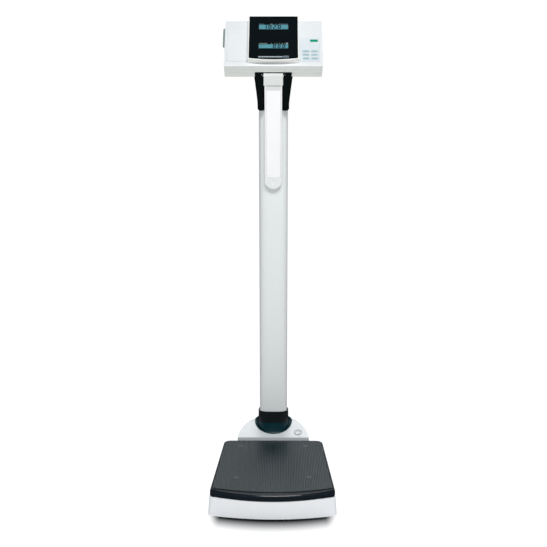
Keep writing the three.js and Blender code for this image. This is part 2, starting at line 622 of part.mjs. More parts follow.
const lcdModule = ([low, high]) => slab(rectangle(-LCD.half, LCD.half, low, high), LCD.low, LCD.top);

function mainBoard() {
  const board = box(-55, 55, 34, 136, 0.5, 2.1);
  const parts = [[-40, 60, 24, 24, 3], [10, 96, 18, 12, 3], [30, 50, 10, 30, 4], [-30, 118, 30, 8, 3.4]]
    .map(([x, s, width, depth, tall]) => box(x, x + width, s, s + depth, 2, 2 + tall));
  return join(board, ...parts);
}

// Opening in the keypad panel for one key.
function keyGate(x, s, { width, height }) {
  const acrossHalf = width / 2 + KEY.play;
  const upHalf = height / 2 + KEY.play;
  const plan = rectangle(x - acrossHalf, x + acrossHalf, s - upHalf, s + upHalf, KEY.corner + KEY.play);
  return slab(plan, KEYPAD.low - 1, KEYPAD.top + 1, 2);
}

function keypadPanel() {
  const panel = slab(rectangle(...KEYPAD.x, ...KEYPAD.s, 2), KEYPAD.low, KEYPAD.top);
  const gates = KEY.rows.flatMap((s) => KEY.columns.map((x) => keyGate(x, s, KEY)));
  return cut(panel, ...gates, keyGate(START_KEY.x, START_KEY.s, START_KEY));
}

function keyCap({ width, height }) {
  const { low, top, edge, corner } = KEY;
  const bevel = { bevelSize: edge, bevelThickness: edge, bevelOffset: -edge, bevelSegments: 1 };
  const plan = rectangle(-width / 2, width / 2, -height / 2, height / 2, corner);
  const depth = top - low - edge;
  return new THREE.ExtrudeGeometry(plan, { depth, curveSegments: 2, ...bevel }).translate(0, 0, low);
}

function keyBoard() {
  return box(KEYPAD.x[0] + 2, KEYPAD.x[1] - 2, KEYPAD.s[0] + 2, KEYPAD.s[1] - 2, -5, -3.4);
}

function compartmentLid() {
  return slab(rectangle(...LID.x, ...LID.s, 1), GAP - LID.depth, 0.4);
}

// Long blank cover over the interface socket in the console's left side.
function sidePortCover() {
  const near = -CONSOLE.half - GAP;
  const far = near - PORT_COVER.proud;
  const [low, high] = PORT_COVER.s;
  const shape = rounded([[near, low, 0.5], [far, low + 3, 1.5], [far, high - 3, 1.5], [near, high, 0.5]]);
  return slab(shape, ...PORT_COVER.t);
}

function tapeDrum() {
  const core = rod(0, 0, DRUM.radius - 3, -DRUM.half, DRUM.half, 28);
  const rims = [-1, 1].map((side) => rod(0, 0, DRUM.radius - 0.2, side * 7 - 1, side * 7 + 1, 28));
  return cut(join(core, ...rims), rod(0, 0, 2.55, -12, 12, 16));
}

function hingeBlock() {
  const { y, z, barrel, pinR } = PIVOT;
  const shape = new THREE.Shape();
  shape.moveTo(TONGUE.back, TONGUE.blockLow);
  shape.lineTo(TONGUE.back, z - 8);
  shape.absarc(y, z, barrel, -1.1, Math.PI, false);
  shape.lineTo(y - barrel, TONGUE.blockLow);
  shape.closePath();
  const block = alongX(shape, -TONGUE.blockHalf, TONGUE.blockHalf, 10);
  return cut(block, rod(y, z, pinR + 0.05, -40, 40));
}

function tongueArm() {
  const { half, front, back, tip, blockLow } = TONGUE;
  const shape = new THREE.Shape();
  shape.moveTo(-half, blockLow - GAP);
  shape.lineTo(-half, tip + half);
  shape.absarc(0, tip + half, half, Math.PI, 2 * Math.PI, false);
  shape.lineTo(half, blockLow - GAP);
  shape.closePath();
  const flat = extruded(shape, back - front, 14).rotateX(Math.PI / 2).translate(0, back, 0);
  const seatHalf = PANEL.half + GAP;
  const seat = box(-seatHalf, seatHalf, front - 1, front + PANEL.depth, PANEL.low - GAP, blockLow);
  const dimple = new THREE.SphereGeometry(26, 32, 20).translate(0, front - 24, 891);
  return cut(flat, seat, dimple);
}

function tonguePanel() {
  const face = TONGUE.front + 0.3;
  return box(-PANEL.half, PANEL.half, face, TONGUE.front + PANEL.depth - GAP, PANEL.low, PANEL.high);
}

function buildHead() {
  add(head, "yoke", yoke(), FINISH.blackPlastic);
  add(head, "inner_profile", tube(INNER, INNER.low, INNER.high), FINISH.aluminium);
  const glide = bush(INNER.low + 2, INNER.low + 40, { outside: 0.5, inside: GAP });
  add(head, "lower_glide", glide, FINISH.blackPlastic);
  add(head, "console_tray", consoleTray(), FINISH.consolePlastic);
  add(head, "console_top", consoleTop(), FINISH.consolePlastic);
  add(head, "hinge_pin", rod(PIVOT.y, PIVOT.z, PIVOT.pinR, -50, 50), FINISH.steel);
  [-1, 1].forEach((side, index) => add(head, `cheek_screw_${index + 1}`, cheekScrew(side), FINISH.steel));
  add(head, "drum_axle", rod(DRUM.y, DRUM.z, 2.5, -39.7, 39.7, 16), FINISH.steel);
  add(head, "tape_drum", tapeDrum(), FINISH.blackPlastic, [0, DRUM.y, DRUM.z]);
  add(head, "tongue_block", hingeBlock(), FINISH.whitePlastic);
  add(head, "tongue_arm", tongueArm(), FINISH.whitePlastic);
  add(head, "tongue_panel", tonguePanel(), FINISH.keypad);
}

function buildDesk() {
  add(desk, "display_tower", displayTower(), FINISH.consolePlastic);
  add(desk, "display_window", displayWindow(), FINISH.glass);
  add(desk, "lcd_weight", lcdModule(LCD.weightS), FINISH.lcd);
  add(desk, "lcd_height", lcdModule(LCD.heightS), FINISH.lcd);
  add(desk, "main_board", mainBoard(), FINISH.board);
  add(desk, "keypad_panel", keypadPanel(), FINISH.keypad);
  add(desk, "key_board", keyBoard(), FINISH.board);
  add(desk, "key_start", keyCap(START_KEY), FINISH.greenKey, [START_KEY.x, START_KEY.s, 0]);
  KEY.rows.forEach((s, row) => KEY.columns.forEach((x, column) =>
    add(desk, `key_${row * KEY.columns.length + column + 1}`, keyCap(KEY), FINISH.key, [x, s, 0])));
  add(desk, "compartment_lid", compartmentLid(), FINISH.consolePlastic);
  add(desk, "side_port_cover", sidePortCover(), FINISH.port);
}

buildBase();
buildColumn();
buildHead();
buildDesk();

export default scale;
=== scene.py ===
from math import cos, pi, radians, sin, sqrt, tan

import bpy
import bmesh
from mathutils import Matrix, Vector


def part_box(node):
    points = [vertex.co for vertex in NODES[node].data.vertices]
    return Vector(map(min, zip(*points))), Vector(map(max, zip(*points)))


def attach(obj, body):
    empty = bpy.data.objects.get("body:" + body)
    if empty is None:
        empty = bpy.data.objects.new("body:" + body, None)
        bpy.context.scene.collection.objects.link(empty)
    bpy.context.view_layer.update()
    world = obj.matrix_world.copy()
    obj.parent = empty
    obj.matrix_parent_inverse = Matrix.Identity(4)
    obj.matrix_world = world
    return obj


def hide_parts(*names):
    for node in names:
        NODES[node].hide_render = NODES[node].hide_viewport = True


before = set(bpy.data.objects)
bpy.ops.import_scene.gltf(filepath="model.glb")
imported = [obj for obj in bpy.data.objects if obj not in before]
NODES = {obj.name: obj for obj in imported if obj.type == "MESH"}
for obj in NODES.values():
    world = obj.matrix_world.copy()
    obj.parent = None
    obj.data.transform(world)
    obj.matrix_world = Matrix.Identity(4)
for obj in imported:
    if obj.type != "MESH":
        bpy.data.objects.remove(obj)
SCENE = bpy.context.scene
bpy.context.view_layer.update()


def mm(value):
    """Millimetres in metres, the scene's unit."""
    return value / 1000


# ---------------------------------------------------------------- camera and light
CAMERA_PLACE = (mm(20), mm(-2798.5), mm(1330))
CAMERA_PITCH = radians(13.72)
CAMERA_YAW = radians(0.38)
CAMERA_LENS = 65.8
CAMERA_SENSOR = 36
SEEN_STRENGTH = 1.05
LIT_STRENGTH = 0.36
MIRRORED_STRENGTH_BEHIND = 0.42
MIRRORED_BAND = (0.2, 0.6)
# Axis, where the world starts and ends to fade along it, and what is left of it there.
WORLD_FADES = (("X", 0.45, 1.0, 0.45), ("Z", 0.45, 0.9, 0.04))


def map_range(tree, value, start, end, low=0.0, high=1.0, smooth=True):
    """The value carried from start..end to low..high and clamped; smooth eases both ends."""
    node = tree.nodes.new("ShaderNodeMapRange")
    if smooth:
        node.interpolation_type = "SMOOTHSTEP"
    for socket, number in (("From Min", start), ("From Max", end), ("To Min", low), ("To Max", high)):
        node.inputs[socket].default_value = number
    tree.links.new(value, node.inputs["Value"])
    return node.outputs[0]


def make_camera():
    data = bpy.data.cameras.new("view")
    data.lens = CAMERA_LENS
    data.sensor_width = CAMERA_SENSOR
    camera = bpy.data.objects.new("view", data)
    camera.location = CAMERA_PLACE
    camera.rotation_euler = (pi / 2 - CAMERA_PITCH, 0, CAMERA_YAW)
    SCENE.collection.objects.link(camera)
    SCENE.camera = camera


def area_light(name, place, target, size, power):
    data = bpy.data.lights.new(name, "AREA")
    data.shape = "RECTANGLE"
    data.size, data.size_y = size
    data.energy = power
    light = bpy.data.objects.new(name, data)
    light.location = place
    light.rotation_euler = (Vector(target) - Vector(place)).to_track_quat("-Z", "Y").to_euler()
    SCENE.collection.objects.link(light)


def make_world():
    """White to the camera; for lighting, soft from front and back, darker at the sides and overhead.

    Mirror rays see it a little brighter behind the object.
    """
    world = bpy.data.worlds.new("studio")
    world.use_nodes = True
    tree = world.node_tree
    nodes, links = tree.nodes, tree.links
    nodes.clear()
    out = nodes.new("ShaderNodeOutputWorld")
    seen = nodes.new("ShaderNodeBackground")
    seen.inputs["Color"].default_value = (1, 1, 1, 1)
    seen.inputs["Strength"].default_value = SEEN_STRENGTH
    lit = nodes.new("ShaderNodeBackground")
    coords = nodes.new("ShaderNodeTexCoord")
    split = nodes.new("ShaderNodeSeparateXYZ")
    links.new(coords.outputs["Generated"], split.inputs[0])
    both = nodes.new("ShaderNodeMath")
    both.operation = "MULTIPLY"
    for socket, (axis, start, end, left) in zip(both.inputs, WORLD_FADES):
        size = nodes.new("ShaderNodeMath")
        size.operation = "ABSOLUTE"
        links.new(split.outputs[axis], size.inputs[0])
        links.new(map_range(tree, size.outputs[0], start, end, 1.0, left), socket)
    links.new(both.outputs[0], lit.inputs["Color"])
    path = nodes.new("ShaderNodeLightPath")
    mirrored = nodes.new("ShaderNodeMix")
    mirrored.inputs["A"].default_value = LIT_STRENGTH
    links.new(path.outputs["Is Glossy Ray"], mirrored.inputs["Factor"])
    behind = map_range(tree, split.outputs["Y"], *MIRRORED_BAND, LIT_STRENGTH, MIRRORED_STRENGTH_BEHIND)
    links.new(behind, mirrored.inputs["B"])
    links.new(mirrored.outputs["Result"], lit.inputs["Strength"])
    choose = nodes.new("ShaderNodeMixShader")
    links.new(path.outputs["Is Camera Ray"], choose.inputs[0])
    links.new(lit.outputs[0], choose.inputs[1])
    links.new(seen.outputs[0], choose.inputs[2])
    links.new(choose.outputs[0], out.inputs["Surface"])
    SCENE.world = world


# ---------------------------------------------------------------- materials
NOISE_LOW, NOISE_HIGH = 0.3, 0.7


class Paint:
    """A Principled material with object-space detail; sizes are in metres."""

    def __init__(self, name, colour, roughness, metallic=0.0, specular=0.5):
        self.made = bpy.data.materials.new(name)
        self.made.use_nodes = True
        self.tree = self.made.node_tree
        self.nodes, self.links = self.tree.nodes, self.tree.links
        self.shader = self.nodes["Principled BSDF"]
        self.colour, self.roughness = colour, roughness
        self.set("Base Color", (*colour, 1))
        self.set("Roughness", roughness)
        self.set("Metallic", metallic)
        self.set("Specular IOR Level", specular)
        self.coords = self.nodes.new("ShaderNodeTexCoord").outputs["Object"]

    def set(self, socket, value):
        self.shader.inputs[socket].default_value = value

    def math(self, operation, first, second=0.0):
        node = self.nodes.new("ShaderNodeMath")
        node.operation = operation
        for socket, value in zip(node.inputs, (first, second)):
            if isinstance(value, (int, float)):
                socket.default_value = value
            else:
                self.links.new(value, socket)
        return node.outputs[0]

    def noise(self, size, detail, stretch=(1, 1, 1)):
        """Noise whose blotches are about size metres across, drawn out by stretch."""
        mapping = self.nodes.new("ShaderNodeMapping")
        mapping.inputs["Scale"].default_value = [1 / (size * s) for s in stretch]
        self.links.new(self.coords, mapping.inputs["Vector"])
        noise = self.nodes.new("ShaderNodeTexNoise")
        noise.inputs["Scale"].default_value = 1.0
        noise.inputs["Detail"].default_value = detail
        self.links.new(mapping.outputs[0], noise.inputs["Vector"])
        return noise.outputs[0]

    def spread(self, factor, low, high):
        """Noise stretched from the values it mostly takes to low..high."""
        return map_range(self.tree, factor, NOISE_LOW, NOISE_HIGH, low, high, smooth=False)

    def tint(self, factor, amount):
        """Colour that strays from the base colour by amount either way."""
        ramp = self.nodes.new("ShaderNodeMix")
        ramp.data_type = "RGBA"
        ramp.inputs["A"].default_value = (*[c * (1 - amount) for c in self.colour], 1)
        ramp.inputs["B"].default_value = (*[min(1, c * (1 + amount)) for c in self.colour], 1)
        self.links.new(self.spread(factor, 0, 1), ramp.inputs["Factor"])
        self.links.new(ramp.outputs["Result"], self.shader.inputs["Base Color"])

    def rough(self, factor, amount):
        low, high = max(0.02, self.roughness - amount), min(1, self.roughness + amount)
        self.links.new(self.spread(factor, low, high), self.shader.inputs["Roughness"])

    def relief(self, factor, depth, strength):
        """Bump of that depth in metres."""
        bump = self.nodes.new("ShaderNodeBump")
        bump.inputs["Distance"].default_value = depth
        bump.inputs["Strength"].default_value = strength
        self.links.new(factor, bump.inputs["Height"])
        self.links.new(bump.outputs[0], self.shader.inputs["Normal"])


def moulded(name, colour, roughness=0.42, grain=mm(0.6), depth=mm(0.015), **more):
    """Moulded plastic: fine spark texture, faint flow marks, uneven gloss."""
    paint = Paint(name, colour, roughness, **more)
    paint.tint(paint.noise(mm(60), detail=3), 0.015)
    paint.rough(paint.noise(mm(18), detail=4), 0.06)
    paint.relief(paint.noise(grain, detail=3), depth, 0.5)
    return paint.made


def rubbery(name, colour, roughness=0.7):
    """Plain rubber: matt, with a coarse grain."""
    paint = Paint(name, colour, roughness, specular=0.35)
    paint.tint(paint.noise(mm(14), detail=5), 0.12)
    paint.rough(paint.noise(mm(7), detail=4), 0.1)
    paint.relief(paint.noise(mm(0.8), detail=4), mm(0.05), 0.6)
    return paint.made


def mat_rubber(name):
    """Ribbed rubber with painted shade: near black in the grooves, its own blue-black on the crowns."""
    paint = Paint(name, (0.016, 0.037, 0.045), 0.34, specular=0.66)
    split = paint.nodes.new("ShaderNodeSeparateXYZ")
    paint.links.new(paint.coords, split.inputs[0])
    # Painted shade: below the crowns the colour darkens to near black in the grooves.
    crown = map_range(paint.tree, split.outputs["Z"], MAT_TOP - mm(0.9), MAT_TOP - mm(0.1), smooth=False)
    mix = paint.nodes.new("ShaderNodeMix")
    mix.data_type = "RGBA"
    mix.inputs["A"].default_value = (*GROOVE_PAINTED_SHADE, 1)
    paint.tint(paint.noise(mm(14), detail=5), 0.1)
    crown_tone = paint.shader.inputs["Base Color"].links[0].from_socket
    paint.links.new(crown_tone, mix.inputs["B"])
    paint.links.new(crown, mix.inputs["Factor"])
    paint.links.new(mix.outputs["Result"], paint.shader.inputs["Base Color"])
    paint.rough(paint.noise(mm(7), detail=4), 0.05)
    paint.relief(paint.noise(mm(1.2), detail=2), mm(0.012), 0.3)
    return paint.made


def coated_metal(name, colour, roughness, metallic):
    """Powder coat or anodising over an extrusion, with faint die lines along it."""
    paint = Paint(name, colour, roughness, metallic=metallic)
    paint.tint(paint.noise(mm(90), detail=3, stretch=(1, 1, 4)), 0.012)
    paint.rough(paint.noise(mm(1.6), detail=2, stretch=(1, 1, 60)), 0.05)
    paint.relief(paint.noise(mm(0.5), detail=3), mm(0.01), 0.35)
    return paint.made


def worked_steel(name, colour):
    """Zinc-plated steel, brushed along one axis."""
    brushed = (30, 1, 1)
    paint = Paint(name, colour, 0.35, metallic=1.0)
    paint.tint(paint.noise(mm(5), detail=5), 0.1)
    paint.rough(paint.noise(mm(0.7), detail=3, stretch=brushed), 0.12)
    paint.relief(paint.noise(mm(0.5), detail=2, stretch=brushed), mm(0.01), 0.5)
    return paint.made


def polished(name, colour, roughness, specular):
    """Glossy plastic or glass, very slightly wavy."""
    paint = Paint(name, colour, roughness, specular=specular)
    paint.tint(paint.noise(mm(40), detail=3), 0.06)
    paint.rough(paint.noise(mm(12), detail=5), 0.03)
    paint.relief(paint.noise(mm(45), detail=2), mm(0.02), 0.3)
    return paint.made


def lcd_face(name, colour):
    """Reflective liquid crystal: faint columns and a mottled backing."""
    paint = Paint(name, colour, 0.3, specular=0.4)
    paint.tint(paint.noise(mm(0.9), detail=2, stretch=(1, 8, 8)), 0.14)
    paint.rough(paint.noise(mm(3), detail=3), 0.05)
    paint.relief(paint.noise(mm(0.5), detail=2), mm(0.01), 0.3)
    return paint.made


def circuit(name):
    """Solder mask with tracks and pads showing through."""
    paint = Paint(name, (0.02, 0.13, 0.05), 0.35)
    paint.tint(paint.noise(mm(2.5), detail=1, stretch=(1, 6, 6)), 0.4)
    paint.relief(paint.noise(mm(1.2), detail=1, stretch=(6, 1, 1)), mm(0.05), 0.6)
    return paint.made


def vial_liquid():
    paint = Paint("vial_liquid", (0.72, 0.78, 0.74), 0.06, specular=0.6)
    paint.tint(paint.noise(mm(6), detail=2), 0.05)
    return paint.made


MAT_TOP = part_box("platform_mat")[1].z
# Painted shade for the mat's grooves.
GROOVE_PAINTED_SHADE = (0.004, 0.007, 0.008)
WHITE = moulded("white_moulding", (0.93, 0.955, 0.985), 0.36, specular=0.35)
REAR_WHITE = moulded("rear_cover_moulding", (0.745, 0.79, 0.805), 0.4, specular=0.35)
CONSOLE_WHITE = moulded("console_moulding", (0.765, 0.80, 0.82), 0.45)
TRAY_GREY = moulded("tray_moulding", (0.55, 0.575, 0.555), 0.5)
TONGUE_WHITE = moulded("tongue_moulding", (0.791, 0.809, 0.814), 0.4, grain=mm(0.9))
# The tower's cream moulding has painted light: it is lighter than the console's so that its undercut nose, which
# the lamps reach less, still looks bright.
TOWER_WHITE = moulded("tower_moulding", (0.87, 0.88, 0.85), 0.4)
BLOCK_WHITE = moulded("tongue_block_moulding", (0.665, 0.69, 0.675), 0.45)
PANEL_WHITE = moulded("tongue_insert", (0.90, 0.905, 0.92), 0.5, grain=mm(0.4))
KEYPAD_FOIL = moulded("keypad_foil", (0.70, 0.765, 0.805), 0.5, grain=mm(0.35), depth=mm(0.02))
KEY_GREY = moulded("key_blue_grey", (0.46, 0.6, 0.65), 0.45, grain=mm(0.3))
KEY_GREEN = moulded("key_green_cap", (0.0, 0.31, 0.18), 0.45, grain=mm(0.3), specular=0.15)
BLACK_SATIN = moulded("black_satin", (0.007, 0.011, 0.013), 0.34, grain=mm(0.5), specular=0.3)
BLACK_GLOSS = polished("black_gloss", (0.0035, 0.0055, 0.006), 0.12, 0.16)
FLANGE_BLUE = moulded("flange_blue_black", (0.002, 0.031, 0.043), 0.34, grain=mm(0.5), specular=0.25)
COVER_GLOSS = polished("cover_blue_black", (0.008, 0.014, 0.020), 0.16, 0.24)
GLASS_BLACK = polished("window_black", (0.0045, 0.0075, 0.009), 0.07, 0.28)
PORT_GREY = rubbery("port_cover_grey", (0.2, 0.27, 0.265), 0.6)
MAT_RUBBER = mat_rubber("mat_ribbed_rubber")
FOOT_RUBBER = rubbery("foot_black_rubber", (0.02, 0.021, 0.022))
COLUMN_COAT = coated_metal("column_coat", (0.86, 0.90, 0.90), 0.4, 0.08)
BARE_ALUMINIUM = coated_metal("anodised", (0.60, 0.615, 0.62), 0.42, 0.35)
STEEL = worked_steel("zinc_steel", (0.5, 0.51, 0.52))
LCD = lcd_face("lcd_blue_green", (0.088, 0.285, 0.345))
BOARD = circuit("solder_mask")
INK_DARK = moulded("ink_dark", (0.004, 0.012, 0.02), 0.45, grain=mm(0.3), specular=0.2)
INK_LIGHT = moulded("ink_light", (0.5, 0.55, 0.56), 0.5, grain=mm(0.3))
INK_GREY = moulded("ink_grey", (0.12, 0.18, 0.22), 0.5, grain=mm(0.3))
INK_SAGE = moulded("ink_sage", (0.20, 0.25, 0.19), 0.5, grain=mm(0.3))
INK_KEY = moulded("ink_key", (0.13, 0.26, 0.3), 0.5, grain=mm(0.3))
VIAL = vial_liquid()



# ---------------------------------------------------------------- mesh helpers; shapes are in millimetres
def rounded(corners, steps=8):
    """Closed outline through corners (x, y, radius), each rounded by its radius."""
    points = []
    for index, (x, y, radius) in enumerate(corners):
        here = Vector((x, y))
        before = Vector(corners[index - 1][:2]) - here
        after = Vector(corners[(index + 1) % len(corners)][:2]) - here
        if radius <= 0:
            points.append(here)
            continue
        start, end = here + before.normalized() * radius, here + after.normalized() * radius
        for step in range(steps + 1):
            t = step / steps
            points.append(start * (1 - t) ** 2 + here * 2 * t * (1 - t) + end * t * t)
    return points


def rectangle(x0, x1, y0, y1, radius=0.0, steps=6):
    return rounded([(x0, y0, radius), (x1, y0, radius), (x1, y1, radius), (x0, y1, radius)], steps)


def shrunk(outline, scale, centre):
    return [centre + (point - centre) * scale for point in outline]


def level(outline, z):
    """The outline as a ring of points at one height."""
    return [(point.x, point.y, z) for point in outline]


def shade(mesh, angle):
    """Smooth shading, kept sharp at edges that turn more than the angle."""
    mesh.polygons.foreach_set("use_smooth", [True] * len(mesh.polygons))
    mesh.set_sharp_from_angle(angle=radians(angle))


def soften(piece, width, segments=3, angle=30):
    """Rounds the edges sharper than the angle and evens out the shading."""
    if width > 0:
        bevel = piece.modifiers.new("edges", "BEVEL")
        bevel.width = mm(width)
        bevel.segments = segments
        bevel.limit_method = "ANGLE"
        bevel.angle_limit = radians(angle)
        bevel.use_clamp_overlap = True
    even = piece.modifiers.new("normals", "WEIGHTED_NORMAL")
    even.keep_sharp = True


def solid(name, points, faces):
    """A new object from points in millimetres, with its faces turned outwards."""
    mesh = bpy.data.meshes.new(name)
    mesh.from_pydata([(mm(x), mm(y), mm(z)) for x, y, z in points], [], faces)
    shape = bmesh.new()
    shape.from_mesh(mesh)
    bmesh.ops.recalc_face_normals(shape, faces=shape.faces)
    shape.to_mesh(mesh)
    shape.free()
    made = bpy.data.objects.new(name, mesh)
    SCENE.collection.objects.link(made)
    return made


def loft(name, rings, closed=False):
    """A solid skinned over equal rings: open ends are capped, or closed joins the last ring to the first."""
    count = len(rings[0])
    points = [point for ring in rings for point in ring]
    faces = []
    for row in range(len(rings) if closed else len(rings) - 1):
        here, above = row * count, ((row + 1) % len(rings)) * count
        for i in range(count):
            j = (i + 1) % count
            faces.append((here + i, here + j, above + j, above + i))
    if not closed:
        faces.append(tuple(reversed(range(count))))
        faces.append(tuple(range((len(rings) - 1) * count, len(rings) * count)))
    return solid(name, points, faces)


def prism(name, outline, low, high):
    return loft(name, [level(outline, low), level(outline, high)])


def block(name, x0, x1, y0, y1, z0, z1):
    return prism(name, rectangle(x0, x1, y0, y1), z0, z1)


def round_bar(name, centre, radius, length, axis, steps=32):
    """A round bar along the X or Y axis."""
    turn = Matrix.Rotation(pi / 2, 4, {"X": "Y", "Y": "X"}[axis])
    circle = [(radius * cos(2 * pi * i / steps), radius * sin(2 * pi * i / steps)) for i in range(steps)]
    rings = [[tuple(turn @ Vector((x, y, z)) + Vector(centre)) for x, y in circle]
             for z in (-length / 2, length / 2)]
    return loft(name, rings)


def carve(piece, *tools):
    """Cuts the tools from the piece and clears them away."""
    for tool in tools:
        modifier = piece.modifiers.new("carve", "BOOLEAN")
        modifier.operation = "DIFFERENCE"
        modifier.solver = "EXACT"
        modifier.object = tool
    bpy.context.view_layer.update()
    shape = bpy.data.meshes.new_from_object(piece.evaluated_get(bpy.context.evaluated_depsgraph_get()))
    piece.modifiers.clear()
    piece.data = shape
    for tool in tools:
        bpy.data.objects.remove(tool)


def dress(piece, paint, body, replaces=(), bevel=0.0, angle=30):
    """Gives a new piece its material, edges, body and the CAD nodes that it stands for."""
    piece.data.materials.clear()
    piece.data.materials.append(paint)
    shade(piece.data, angle)
    soften(piece, bevel, angle=angle)
    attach(piece, body)
    if replaces:
        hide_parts(*replaces)


WELD_WITHIN = mm(0.005)
FLAT_WITHIN = radians(0.5)


def keep(node, paint, bevel, segments=2, angle=32):
    """Keeps a CAD node's shape, with rounded edges, even shading and a real material."""
    piece = NODES[node]
    mesh = piece.data
    for name in ("custom_normal", "sharp_face", "sharp_edge"):
        if name in mesh.attributes:
            mesh.attributes.remove(mesh.attributes[name])
    mesh.polygons.foreach_set("use_smooth", [True] * len(mesh.polygons))
    weld = piece.modifiers.new("weld", "WELD")
    weld.merge_threshold = WELD_WITHIN
    flats = piece.modifiers.new("flats", "DECIMATE")
    flats.decimate_type = "DISSOLVE"
    flats.angle_limit = FLAT_WITHIN
    soften(piece, bevel, segments, angle)
    mesh.materials.clear()
    mesh.materials.append(paint)


def corners_of(node):
    """A CAD node's lowest and highest corner, in millimetres."""
    low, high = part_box(node)
    return low * 1000, high * 1000


# ---------------------------------------------------------------- weighing base
NOSE_STEPS = 24
# Half widths, y of the front corners, of the nose and of the rear edge, and the front and rear corner radii.
# The front corners reach a little further forward than the CAD solids' do, most of all at the skirt's foot.
BASE = {"front": 180.8, "front_y": -238, "nose_y": -268.5, "rear": 157, "rear_y": 118.5, "round": (10, 18)}
COVER = {"front": 176, "front_y": -230, "nose_y": -266.5, "rear": 153, "rear_y": 117.5, "round": (9, 17)}
MAT = {"front": 168, "front_y": -217, "nose_y": -243.5, "rear": 148, "rear_y": 113, "round": (5, 18)}
RIB_PITCH = 4.7
RIB_DEPTH = 1.3


def deck(plan, inset=0.0):
    """Trapezoid outline with an arched nose, drawn in by the inset all round."""
    half, rear = plan["front"] - inset, plan["rear"] - inset
    front_y, nose_y = plan["front_y"] + inset, plan["nose_y"] + inset
    sag = front_y - nose_y
    radius = (half * half + sag * sag) / (2 * sag)
    at_front, at_rear = (max(1.0, size - inset) for size in plan["round"])
    nose = []
    for step in range(1 - NOSE_STEPS, NOSE_STEPS):
        x = half * step / NOSE_STEPS
        nose.append((x, nose_y + radius - sqrt(radius * radius - x * x), 0))
    return rounded([
        (-half, front_y, at_front), *nose, (half, front_y, at_front),
        (rear, plan["rear_y"] - inset, at_rear), (-rear, plan["rear_y"] - inset, at_rear)])


def base_shell():
    """Skirt that flares a little towards the floor, hollow below its rim and open at the rear."""
    low, high = corners_of("base_shell")
    flare_centre = Vector((0, -75))
    flare, corner_reach = 0.02, 6
    edge, chamfer, wall, lip = 1.6, 0.45, 3, 14
    door_half, door_front, door_rear, door_top = 108, 98, 125, 30

    def ring(inset, z):
        share = (z - low.z) / (high.z - low.z)
        plan = dict(BASE, front_y=BASE["front_y"] - corner_reach * (1 - share))
        return level(shrunk(deck(plan, inset), 1 - flare * share, flare_centre), z)

    floor = corners_of("base_frame")[0].z - 0.3
    skin = loft("base_skirt", [
        ring(lip, low.z), ring(edge, low.z), ring(chamfer, low.z + chamfer), ring(0, low.z + edge),
        ring(0, high.z - edge), ring(chamfer, high.z - chamfer), ring(edge, high.z),
        ring(wall, high.z), ring(wall, floor), ring(lip, floor)], closed=True)
    carve(skin, block("doorway", -door_half, door_half, door_front, door_rear, low.z - 2, door_top))
    dress(skin, WHITE, "root", ["base_shell"])


def platform_cover():
    """Cover whose rim frames the mat, then rolls over and down to the skirt."""
    low, high = corners_of("platform_cover")
    top = high.z
    mat_seat, underside = 77.7, 74.6
    # Plan, inset and height of each ring, from the mat's seat over the rim and round to the underside.
    profile = [
        (MAT, -0.3, mat_seat),
        (MAT, -0.3, top - 0.5), (MAT, -0.7, top - 0.1), (MAT, -1.6, top), (MAT, -2.6, top),
        (MAT, -3.0, top - 0.9), (MAT, -3.8, top - 0.9),
        (COVER, 5.4, top - 0.1), (COVER, 4.2, top - 0.4), (COVER, 2.9, top - 1.2), (COVER, 1.2, top - 3.1),
        (COVER, 0.3, top - 4.6), (COVER, 0, top - 6.2), (COVER, 0, low.z + 1.0), (COVER, 0.9, low.z),
        (COVER, 4, low.z), (COVER, 4, underside)]
    body = loft("platform_rim", [level(deck(plan, inset), z) for plan, inset, z in profile])
    dress(body, COVER_GLOSS, "root", ["platform_cover"], angle=40)


def reach(outline, x):
    """The lowest and highest y of an outline along the line at x."""
    found = []
    for index, here in enumerate(outline):
        before = outline[index - 1]
        if (before.x - x) * (here.x - x) <= 0 and before.x != here.x:
            found.append(before.y + (here.y - before.y) * (x - before.x) / (here.x - before.x))
    return min(found), max(found)


def ribbed_mat():
    """Rubber mat with ribs that run from front to back across its whole width."""
    low, high = corners_of("platform_mat")
    outline = deck(MAT)
    half = max(point.x for point in outline) - 0.05
    bottom, top, groove = low.z, high.z, high.z - RIB_DEPTH
    shoulder = top - 0.15
    across = [(0.0, groove), (0.14, groove), (0.26, shoulder), (0.34, top), (0.80, top), (0.88, shoulder)]
    ribs = int(2 * half / RIB_PITCH)
    start = -ribs * RIB_PITCH / 2
    stations = [(-half, groove)]
    for rib in range(ribs):
        stations += [(start + (rib + share) * RIB_PITCH, z) for share, z in across]
    stations += [(-start, groove), (half, groove)]
    points, faces = [], []
    for x, z in stations:
        front, rear = reach(outline, x)
        points += [(x, front, bottom), (x, front, z), (x, rear, z), (x, rear, bottom)]
    for index in range(len(stations) - 1):
        here, there = index * 4, index * 4 + 4
        faces += [(here + i, here + (i + 1) % 4, there + (i + 1) % 4, there + i) for i in range(4)]
    last = (len(stations) - 1) * 4
    faces += [(0, 1, 2, 3), (last + 3, last + 2, last + 1, last)]
    mat = solid("ribbed_mat", points, faces)
    dress(mat, MAT_RUBBER, "root", ["platform_mat"], angle=35)


def mat_marks():
    """Four small smooth pads moulded into the mat, where heels and toes go."""
    _, high = corners_of("platform_mat")
    half_wide, half_long, corner = 8, 9, 2
    for name, x, y in (("rear_left", -100, 72), ("rear_right", 100, 72),
                       ("front_left", -104, -150), ("front_right", 104, -150)):
        plan = rectangle(x - half_wide, x + half_wide, y - half_long, y + half_long, corner)
        pad = prism("mat_mark_" + name, plan, high.z - 0.9, high.z + 0.15)
        dress(pad, MAT_RUBBER, "root", bevel=0.3)


# ---------------------------------------------------------------- column
COLUMN_CENTRE_Y = 193.5
COLUMN_AXIS = Vector((0, COLUMN_CENTRE_Y))
COLUMN_CORNER = 30
PROFILE_CORNER = 24
SLEEVE_CORNER = 38
OVAL_STEPS = 14


